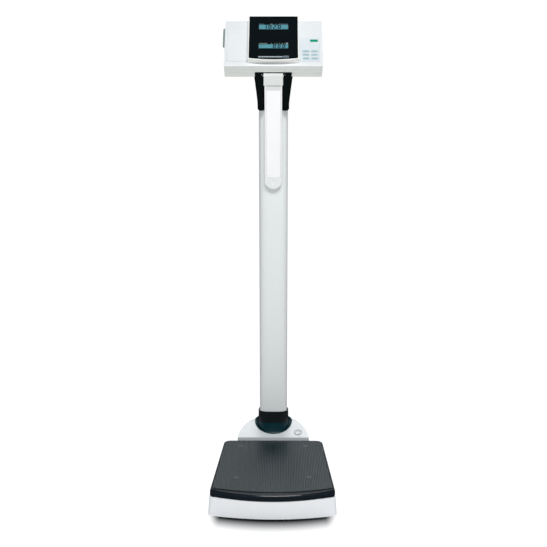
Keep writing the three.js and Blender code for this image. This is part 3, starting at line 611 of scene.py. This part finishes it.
def oval(width, depth, corner):
    """Outline round the column's axis."""
    middle = COLUMN_CENTRE_Y
    return rectangle(-width / 2, width / 2, middle - depth / 2, middle + depth / 2, corner, OVAL_STEPS)


def tube(name, node, corner, wall):
    """A straight oval tube of a CAD node's size."""
    low, high = corners_of(node)
    width, depth = high.x - low.x, high.y - low.y
    outer = oval(width, depth, corner)
    inner = oval(width - 2 * wall, depth - 2 * wall, corner - wall)
    return loft(name, [
        level(outer, low.z), level(outer, high.z), level(inner, high.z), level(inner, low.z)], closed=True)


def foot_sleeve():
    """Sleeve that narrows upwards, with a rim that falls a little to the rear."""
    low, high = corners_of("column_sleeve")
    outer = oval(high.x - low.x, high.y - low.y, SLEEVE_CORNER)
    bore = oval(86.6, 76.6, COLUMN_CORNER)
    tall = high.z - low.z
    taper, rim_fall = 0.03, 0.13

    def fallen(ring):
        return [(x, y, z - rim_fall * (y - low.y)) for x, y, z in ring]

    wall = [level(shrunk(outer, 1 - taper * share, COLUMN_AXIS), low.z + tall * share)
            for share in (0, 0.42, 0.43, 0.96, 0.985)]
    rim = [level(shrunk(outer, 0.962, COLUMN_AXIS), high.z - 0.3),
           level(shrunk(outer, 0.95, COLUMN_AXIS), high.z), level(bore, high.z)]
    rings = wall[:3] + [fallen(ring) for ring in wall[3:] + rim] + [level(bore, low.z)]
    made = loft("foot_sleeve", rings, closed=True)
    dress(made, BLACK_SATIN, "root", ["column_sleeve"], bevel=0.5)


def column_pieces():
    outer = tube("column_tube", "column", COLUMN_CORNER, 3)
    dress(outer, COLUMN_COAT, "root", ["column"], bevel=0.8)
    inner = tube("inner_tube", "inner_profile", PROFILE_CORNER, 2)
    dress(inner, BARE_ALUMINIUM, "head", ["inner_profile"], bevel=0.5)
    foot_sleeve()


NEARLY_PARALLEL = 1e-9


def polar(outline, angle):
    """How far the outline lies from the column's axis in one direction."""
    aim = Vector((cos(angle), sin(angle)))
    for index, here in enumerate(outline):
        first, second = outline[index - 1] - COLUMN_AXIS, here - COLUMN_AXIS
        along = second - first
        cross = aim.x * along.y - aim.y * along.x
        if abs(cross) < NEARLY_PARALLEL:
            continue
        share = (first.x * aim.y - first.y * aim.x) / cross
        distance = (first.x * along.y - first.y * along.x) / cross
        if 0 <= share <= 1 and distance > 0:
            return distance
    return 0.0


def column_flange():
    """Dish round the column foot: a rounded rim, and a bell that sweeps up to the sleeve."""
    low, high = corners_of("column_flange")
    outer, wall, bell_top = high.x, 4.5, 125
    inner = outer - wall
    side_rise, front_rise = 4, 1.2
    cover_slope = tan(radians(19.8))
    rim_slope = cover_slope + (side_rise - front_rise) / outer
    sleeve = oval(97, 84, SLEEVE_CORNER)
    bell_steps, turns = 9, 96
    spokes = []
    for turn in range(turns):
        angle = 2 * pi * turn / turns
        aim = Vector((cos(angle), sin(angle)))
        ahead = min(0, outer * aim.y)
        rim = high.z + ahead * rim_slope
        floor = rim - side_rise - 1.5 - ahead / outer * (side_rise - front_rise)
        foot = polar(sleeve, angle) + 0.3
        # Radius and height of each point, from the outer foot over the rim and up the bell to the bore.
        profile = [
            (outer, low.z), (outer, rim - 1.4), (outer - 0.4, rim - 0.5), (outer - 1.3, rim),
            (inner + 1.3, rim), (inner + 0.4, rim - 0.5), (inner, rim - 1.4),
            (inner - 0.2, floor + 1.2), (inner - 1, floor + 0.2)]
        for step in range(bell_steps):
            lean = (step / (bell_steps - 1)) * pi / 2
            radius = inner - 2 - (inner - 2 - foot) * sin(lean)
            profile.append((radius, floor + (bell_top - floor) * (1 - cos(lean))))
        profile += [(foot, bell_top - 1), (foot, low.z)]
        spokes.append([(radius * aim.x, COLUMN_CENTRE_Y + radius * aim.y, z) for radius, z in profile])
    made = loft("foot_dish", list(zip(*spokes)), closed=True)
    dress(made, FLANGE_BLUE, "root", ["column_flange"], angle=50)


# ---------------------------------------------------------------- yoke
YOKE_FRONT_Y, YOKE_SHOULDER_Y, YOKE_REAR_Y = 142, 180, 236
PIN_Y, PIN_Z = 149, 1198.5
CHEEK_SCREW_Z = 1203


def yoke_ring(z, front, side):
    """Outline at one height; front and side are half its width at its face and at its shoulders."""
    rear = side * 0.97
    return level(rounded([
        (-front, YOKE_FRONT_Y, 5), (front, YOKE_FRONT_Y, 5), (side, YOKE_SHOULDER_Y, 22), (rear, YOKE_REAR_Y, 26),
        (-rear, YOKE_REAR_Y, 26), (-side, YOKE_SHOULDER_Y, 22)], 8), z)


def yoke_piece():
    """Black carrier that swells out under the console, with a slot for the tongue."""
    low, high = corners_of("yoke")
    under = corners_of("console_tray")[0].z - 0.6
    foot_half, cuff_half, cuff_rise = 41.5, 45.9, 4.5
    flare_from, flare_steps = low.z + 22, 8
    front_half, front_flare, side_half, side_flare = 46.2, 7.4, 46.6, 10.6
    hidden_front, hidden_side = 52.2, 52.8
    rings = [yoke_ring(low.z, foot_half, foot_half), yoke_ring(low.z + cuff_rise, cuff_half, cuff_half)]
    for step in range(flare_steps + 1):
        share = step / flare_steps
        z = flare_from + (under - flare_from) * share
        rings.append(yoke_ring(z, front_half + front_flare * share, side_half + side_flare * share))
    rings += [yoke_ring(z, hidden_front, hidden_side) for z in (under + 0.4, high.z)]
    body = loft("yoke_body", rings)
    slot_half, slot_front, slot_rear, barrel_rear, barrel_room = 29.6, 135, 153, 158.6, 14
    web_low, web_high = 1119, 1140
    pin_bore, seat_x, seat_bore = 3.3, 33.2, 1.5
    tools = [
        block("slot", -slot_half, slot_half, slot_front, slot_rear, low.z - 2, high.z + 2),
        block("barrel_room", -slot_half, slot_half, slot_front, barrel_rear, PIN_Z - barrel_room, high.z + 2),
        prism("cup", oval(87, 77, COLUMN_CORNER), low.z - 2, web_low),
        prism("profile_hole", oval(73.6, 63.6, PROFILE_CORNER), web_low - 1, web_high),
        round_bar("pin_bore", (0, PIN_Y, PIN_Z), pin_bore, 130, "X"),
    ]
    for side in (-1, 1):
        tools.append(round_bar("seat", (side * seat_x, YOKE_FRONT_Y, CHEEK_SCREW_Z), seat_bore, 7, "Y", 16))
    carve(body, *tools)
    dress(body, BLACK_GLOSS, "head", ["yoke"], bevel=1.1, angle=40)


# ---------------------------------------------------------------- console face
TOP_LOW, TOP_HIGH = corners_of("console_top")
FACE_RUN = TOP_HIGH.y - TOP_LOW.y
FACE_FOOT = Vector((0, TOP_LOW.y, TOP_HIGH.z - FACE_RUN))
FACE_LEAN = pi / 4
# How far out from the face the window, the displays and the keys' fronts lie.
WINDOW_TOP = 16.0
LCD_TOP = 15.9
KEY_TOP = 1.12


def face_point(x, up, out):
    """A point on the sloping face: x across, up the slope, and out from it."""
    return (x, FACE_FOOT.y + up * cos(FACE_LEAN) - out * sin(FACE_LEAN),
            FACE_FOOT.z + up * sin(FACE_LEAN) + out * cos(FACE_LEAN))


def face_plates(name, outlines, low, high):
    """Thin plates on the sloping face, all in one piece."""
    points, faces = [], []
    for outline in outlines:
        start, count = len(points), len(outline)
        points += [face_point(p.x, p.y, low) for p in outline] + [face_point(p.x, p.y, high) for p in outline]
        faces.append(tuple(start + i for i in reversed(range(count))))
        faces.append(tuple(start + count + i for i in range(count)))
        for i in range(count):
            j = (i + 1) % count
            faces.append((start + i, start + j, start + count + j, start + count + i))
    return solid(name, points, faces)


# The lit bars of each digit shown, lettered clockwise from the top, with g in the middle.
SEGMENTS = {"0": "abcdef", "1": "bc", "2": "abged"}


def digit_outlines(digit, left, base, tall):
    """Outlines of the lit bars of one seven-bar digit that leans a little."""
    wide, thick, lean = tall * 0.64, tall * 0.22, 0.05
    half, gap = tall / 2, tall * 0.015
    right = wide - thick
    bars = {
        "a": (thick, right, tall - thick, tall), "d": (thick, right, 0, thick),
        "g": (thick, right, half - thick / 2, half + thick / 2),
        "f": (0, thick, half + gap, tall - gap), "b": (right, wide, half + gap, tall - gap),
        "e": (0, thick, gap, half - gap), "c": (right, wide, gap, half - gap),
    }
    made = []
    for name in SEGMENTS[digit]:
        x0, x1, y0, y1 = bars[name]
        corners = [(x0, y0), (x1, y0), (x1, y1), (x0, y1)]
        made.append([Vector((left + x + y * lean, base + y)) for x, y in corners])
    return made


def readout(name, text, left, step, tall, floor):
    """Digits of one display; a point in the text adds a small square before the next digit."""
    outlines, place = [], left
    for sign in text:
        if sign == ".":
            outlines.append(rectangle(place - step * 0.27, place - step * 0.12, floor, floor + tall * 0.14))
            continue
        outlines += digit_outlines(sign, place, floor, tall)
        place += step
    digits = face_plates(name, outlines, LCD_TOP + 0.02, LCD_TOP + 0.08)
    dress(digits, INK_DARK, "head")


def dashes(name, places, floor, tall, paint, low=WINDOW_TOP + 0.02, body="head"):
    """A row of short blank strokes that stand for small print, with nothing to read in it."""
    outlines = [rectangle(x, x + wide, floor, floor + tall) for x, wide in places]
    dress(face_plates(name, outlines, low, low + 0.06), paint, body)


def display_marks():
    """The digits, and dashes given as (x, width)."""
    readout("height_digits", "102.0", -29.4, 13.8, 14.6, 129.6)
    readout("weight_digits", "000", -1.9, 13.8, 13.4, 53.4)
    height_print = [(-42, 5), (-36, 4), (-31, 3), (15, 5), (21, 4), (26, 6), (33, 4), (38, 4.5)]
    height_lamps = [(-10, 5), (-4, 3), (5, 2.5)]
    weight_print = [(-42, 4), (-37, 6), (-30, 5), (-24, 6), (-7, 3), (3, 2), (10, 2), (17, 2), (24, 3), (31, 2)]
    foot_print = [(-43, 4), (-38, 2.5), (-34, 6), (-27, 4), (-22, 7), (-14, 3), (-10, 5), (-4, 6), (3, 3),
                  (7, 7), (15, 4), (20, 5)]
    for name, places, floor, tall, paint in (
            ("height_print", height_print, 147.0, 2.2, INK_GREY),
            ("height_lamps", height_lamps, 147.0, 2.2, INK_SAGE),
            ("weight_print", weight_print, 69.8, 2.2, INK_SAGE),
            ("weight_lamp", [(36.5, 5.5)], 69.6, 3.0, INK_LIGHT),
            ("foot_print", foot_print, 17.6, 3.2, INK_LIGHT),
            ("foot_bar", [(-44, 89)], 13.8, 2.0, INK_GREY),
            ("foot_bar_right", [(27, 18)], 17.2, 5.4, INK_GREY)):
        dashes(name, places, floor, tall, paint)


def key_marks():
    """Three dashes of varying width on each small key."""
    widths, gap, indent = (2.2, 3.4, 2.6, 3.0, 2.0, 3.6), 0.8, 5.2
    for key in range(1, 7):
        low, high = corners_of("key_%d" % key)
        middle = ((low.y + high.y) / 2 - FACE_FOOT.y) / cos(FACE_LEAN)
        left = (low.x + high.x) / 2 - indent
        places = []
        for turn in range(3):
            wide = widths[(key + turn) % len(widths)]
            places.append((left, wide))
            left += wide + gap
        dashes("key_print_%d" % key, places, middle - 1.4, 2.2, INK_KEY,
               low=KEY_TOP, body="key_%d_cap" % key)


def console_pieces():
    keep("console_tray", TRAY_GREY, 1.2, 3)
    keep("console_top", CONSOLE_WHITE, 1.0, 3)
    keep("display_tower", TOWER_WHITE, 0.9, 3, 40)
    keep("display_window", GLASS_BLACK, 0.25, 2)
    keep("lcd_weight", LCD, 0.1, 1)
    keep("lcd_height", LCD, 0.1, 1)
    keep("keypad_panel", KEYPAD_FOIL, 0.2, 2)
    keep("compartment_lid", CONSOLE_WHITE, 0.4, 2)
    keep("side_port_cover", PORT_GREY, 0.7, 3)
    keep("key_start", KEY_GREEN, 0.0)
    for key in range(1, 7):
        keep("key_%d" % key, KEY_GREY, 0.0)
    keep("main_board", BOARD, 0.1, 1)
    keep("key_board", BOARD, 0.1, 1)
    display_marks()
    key_marks()


# ---------------------------------------------------------------- everything else
def small_parts():
    """Pieces that keep their CAD shape, and the tongue."""
    keep("rear_cover", REAR_WHITE, 0.9, 3, 18)
    keep("level_ring", REAR_WHITE, 0.3)
    keep("level_vial", VIAL, 0.0)
    keep("base_frame", STEEL, 0.5)
    keep("load_plate", STEEL, 0.5)
    keep("castor_bracket", STEEL, 0.6)
    keep("castor_axle", STEEL, 0.4)
    keep("column_socket", BARE_ALUMINIUM, 0.8)
    keep("guide_bush", BLACK_SATIN, 0.3)
    keep("lower_glide", BLACK_SATIN, 0.3)
    keep("power_inlet", BLACK_SATIN, 0.3)
    keep("balance_tape", STEEL, 0.05, 1)
    keep("tape_drum", BLACK_SATIN, 0.3)
    keep("drum_axle", STEEL, 0.2)
    keep("hinge_pin", STEEL, 0.5)
    for index in (1, 2):
        keep("cheek_screw_%d" % index, STEEL, 0.1, 1)
        keep("castor_wheel_%d" % index, FOOT_RUBBER, 0.8, 3, 40)
    for index in (1, 2, 3, 4):
        keep("load_cell_%d" % index, BARE_ALUMINIUM, 0.5)
        keep("foot_pad_%d" % index, FOOT_RUBBER, 0.6)
        keep("foot_screw_%d" % index, STEEL, 0.4)
    keep("tongue_block", BLOCK_WHITE, 0.9, 3, 40)
    keep("tongue_arm", TONGUE_WHITE, 0.9, 3, 40)
    keep("tongue_panel", PANEL_WHITE, 0.2, 2)
    recess_painted_shade()


def recess_painted_shade():
    """Painted shade: a darker plate in the arm's seat, above the inset panel, that stands in for the shade of the
    shallow recess.
    """
    half, panel_top = 20.4, corners_of("tongue_panel")[1]
    field = block("recess_painted_shade", -half, half, panel_top.y + 0.05, panel_top.y + 0.4,
                  panel_top.z + 0.6, panel_top.z + 13.4)
    dress(field, BLOCK_WHITE, "tongue")


# ---------------------------------------------------------------- studio
FLOOR_HALF = 400000
FLOOR_SHADE = (0.10, 0.105, 0.112)
# Axis, middle of the field of painted shadow, its half length, and how sharply the glow rises beyond it.
SHADED_FIELD = (("X", 0.0, mm(146), 1.0), ("Y", mm(-95), mm(157), 0.45))
GLOW_FROM, GLOW_TO = mm(1), mm(38)
DIFFUSE_GLOW = 0.95


def make_floor():
    """Floor whose glow paints the contact shadow: it stays dark near the object, where the lamps' own shadow falls
    too, and glows white a little way from it.

    The edge of the painted shadow bows back towards its ends, as the base's nose does.
    """
    half = FLOOR_HALF
    floor = solid("floor", [(-half, -half, 0), (half, -half, 0), (half, half, 0), (-half, half, 0)], [(0, 1, 2, 3)])
    paint = Paint("floor_white", FLOOR_SHADE, 0.9, specular=0.0)
    paint.set("Emission Color", (1, 1, 1, 1))
    split = paint.nodes.new("ShaderNodeSeparateXYZ")
    paint.links.new(paint.coords, split.inputs[0])
    bow = paint.math("POWER", paint.math("ABSOLUTE", split.outputs["X"]), 2.0)
    beyond = []
    for axis, middle, half_length, weight in SHADED_FIELD:
        spot = paint.math("ABSOLUTE", paint.math("SUBTRACT", split.outputs[axis], middle))
        if axis == "Y":
            spot = paint.math("ADD", spot, bow)
        past = paint.math("MAXIMUM", paint.math("SUBTRACT", spot, half_length), 0.0)
        beyond.append(paint.math("POWER", paint.math("MULTIPLY", past, weight), 2.0))
    away = paint.math("SQRT", paint.math("ADD", *beyond))
    glow = map_range(paint.tree, away, GLOW_FROM, GLOW_TO)
    path = paint.nodes.new("ShaderNodeLightPath")
    fill = paint.math("MULTIPLY", path.outputs["Is Diffuse Ray"], DIFFUSE_GLOW)
    share = paint.math("ADD", path.outputs["Is Camera Ray"], fill)
    paint.links.new(paint.math("MULTIPLY", glow, share), paint.shader.inputs["Emission Strength"])
    floor.data.materials.append(paint.made)


make_camera()
make_world()
area_light("front_softbox", place=(0.3, -2.3, 3.9), target=(0, 0.1, 1.0), size=(1.8, 1.2), power=112)
area_light("back_softbox", place=(0.1, 2.4, 3.3), target=(0, 0, 0.2), size=(1.6, 1.2), power=60)
make_floor()
base_shell()
platform_cover()
ribbed_mat()
mat_marks()
column_pieces()
column_flange()
yoke_piece()
console_pieces()
small_parts()
SCENE.view_settings.view_transform = "Standard"
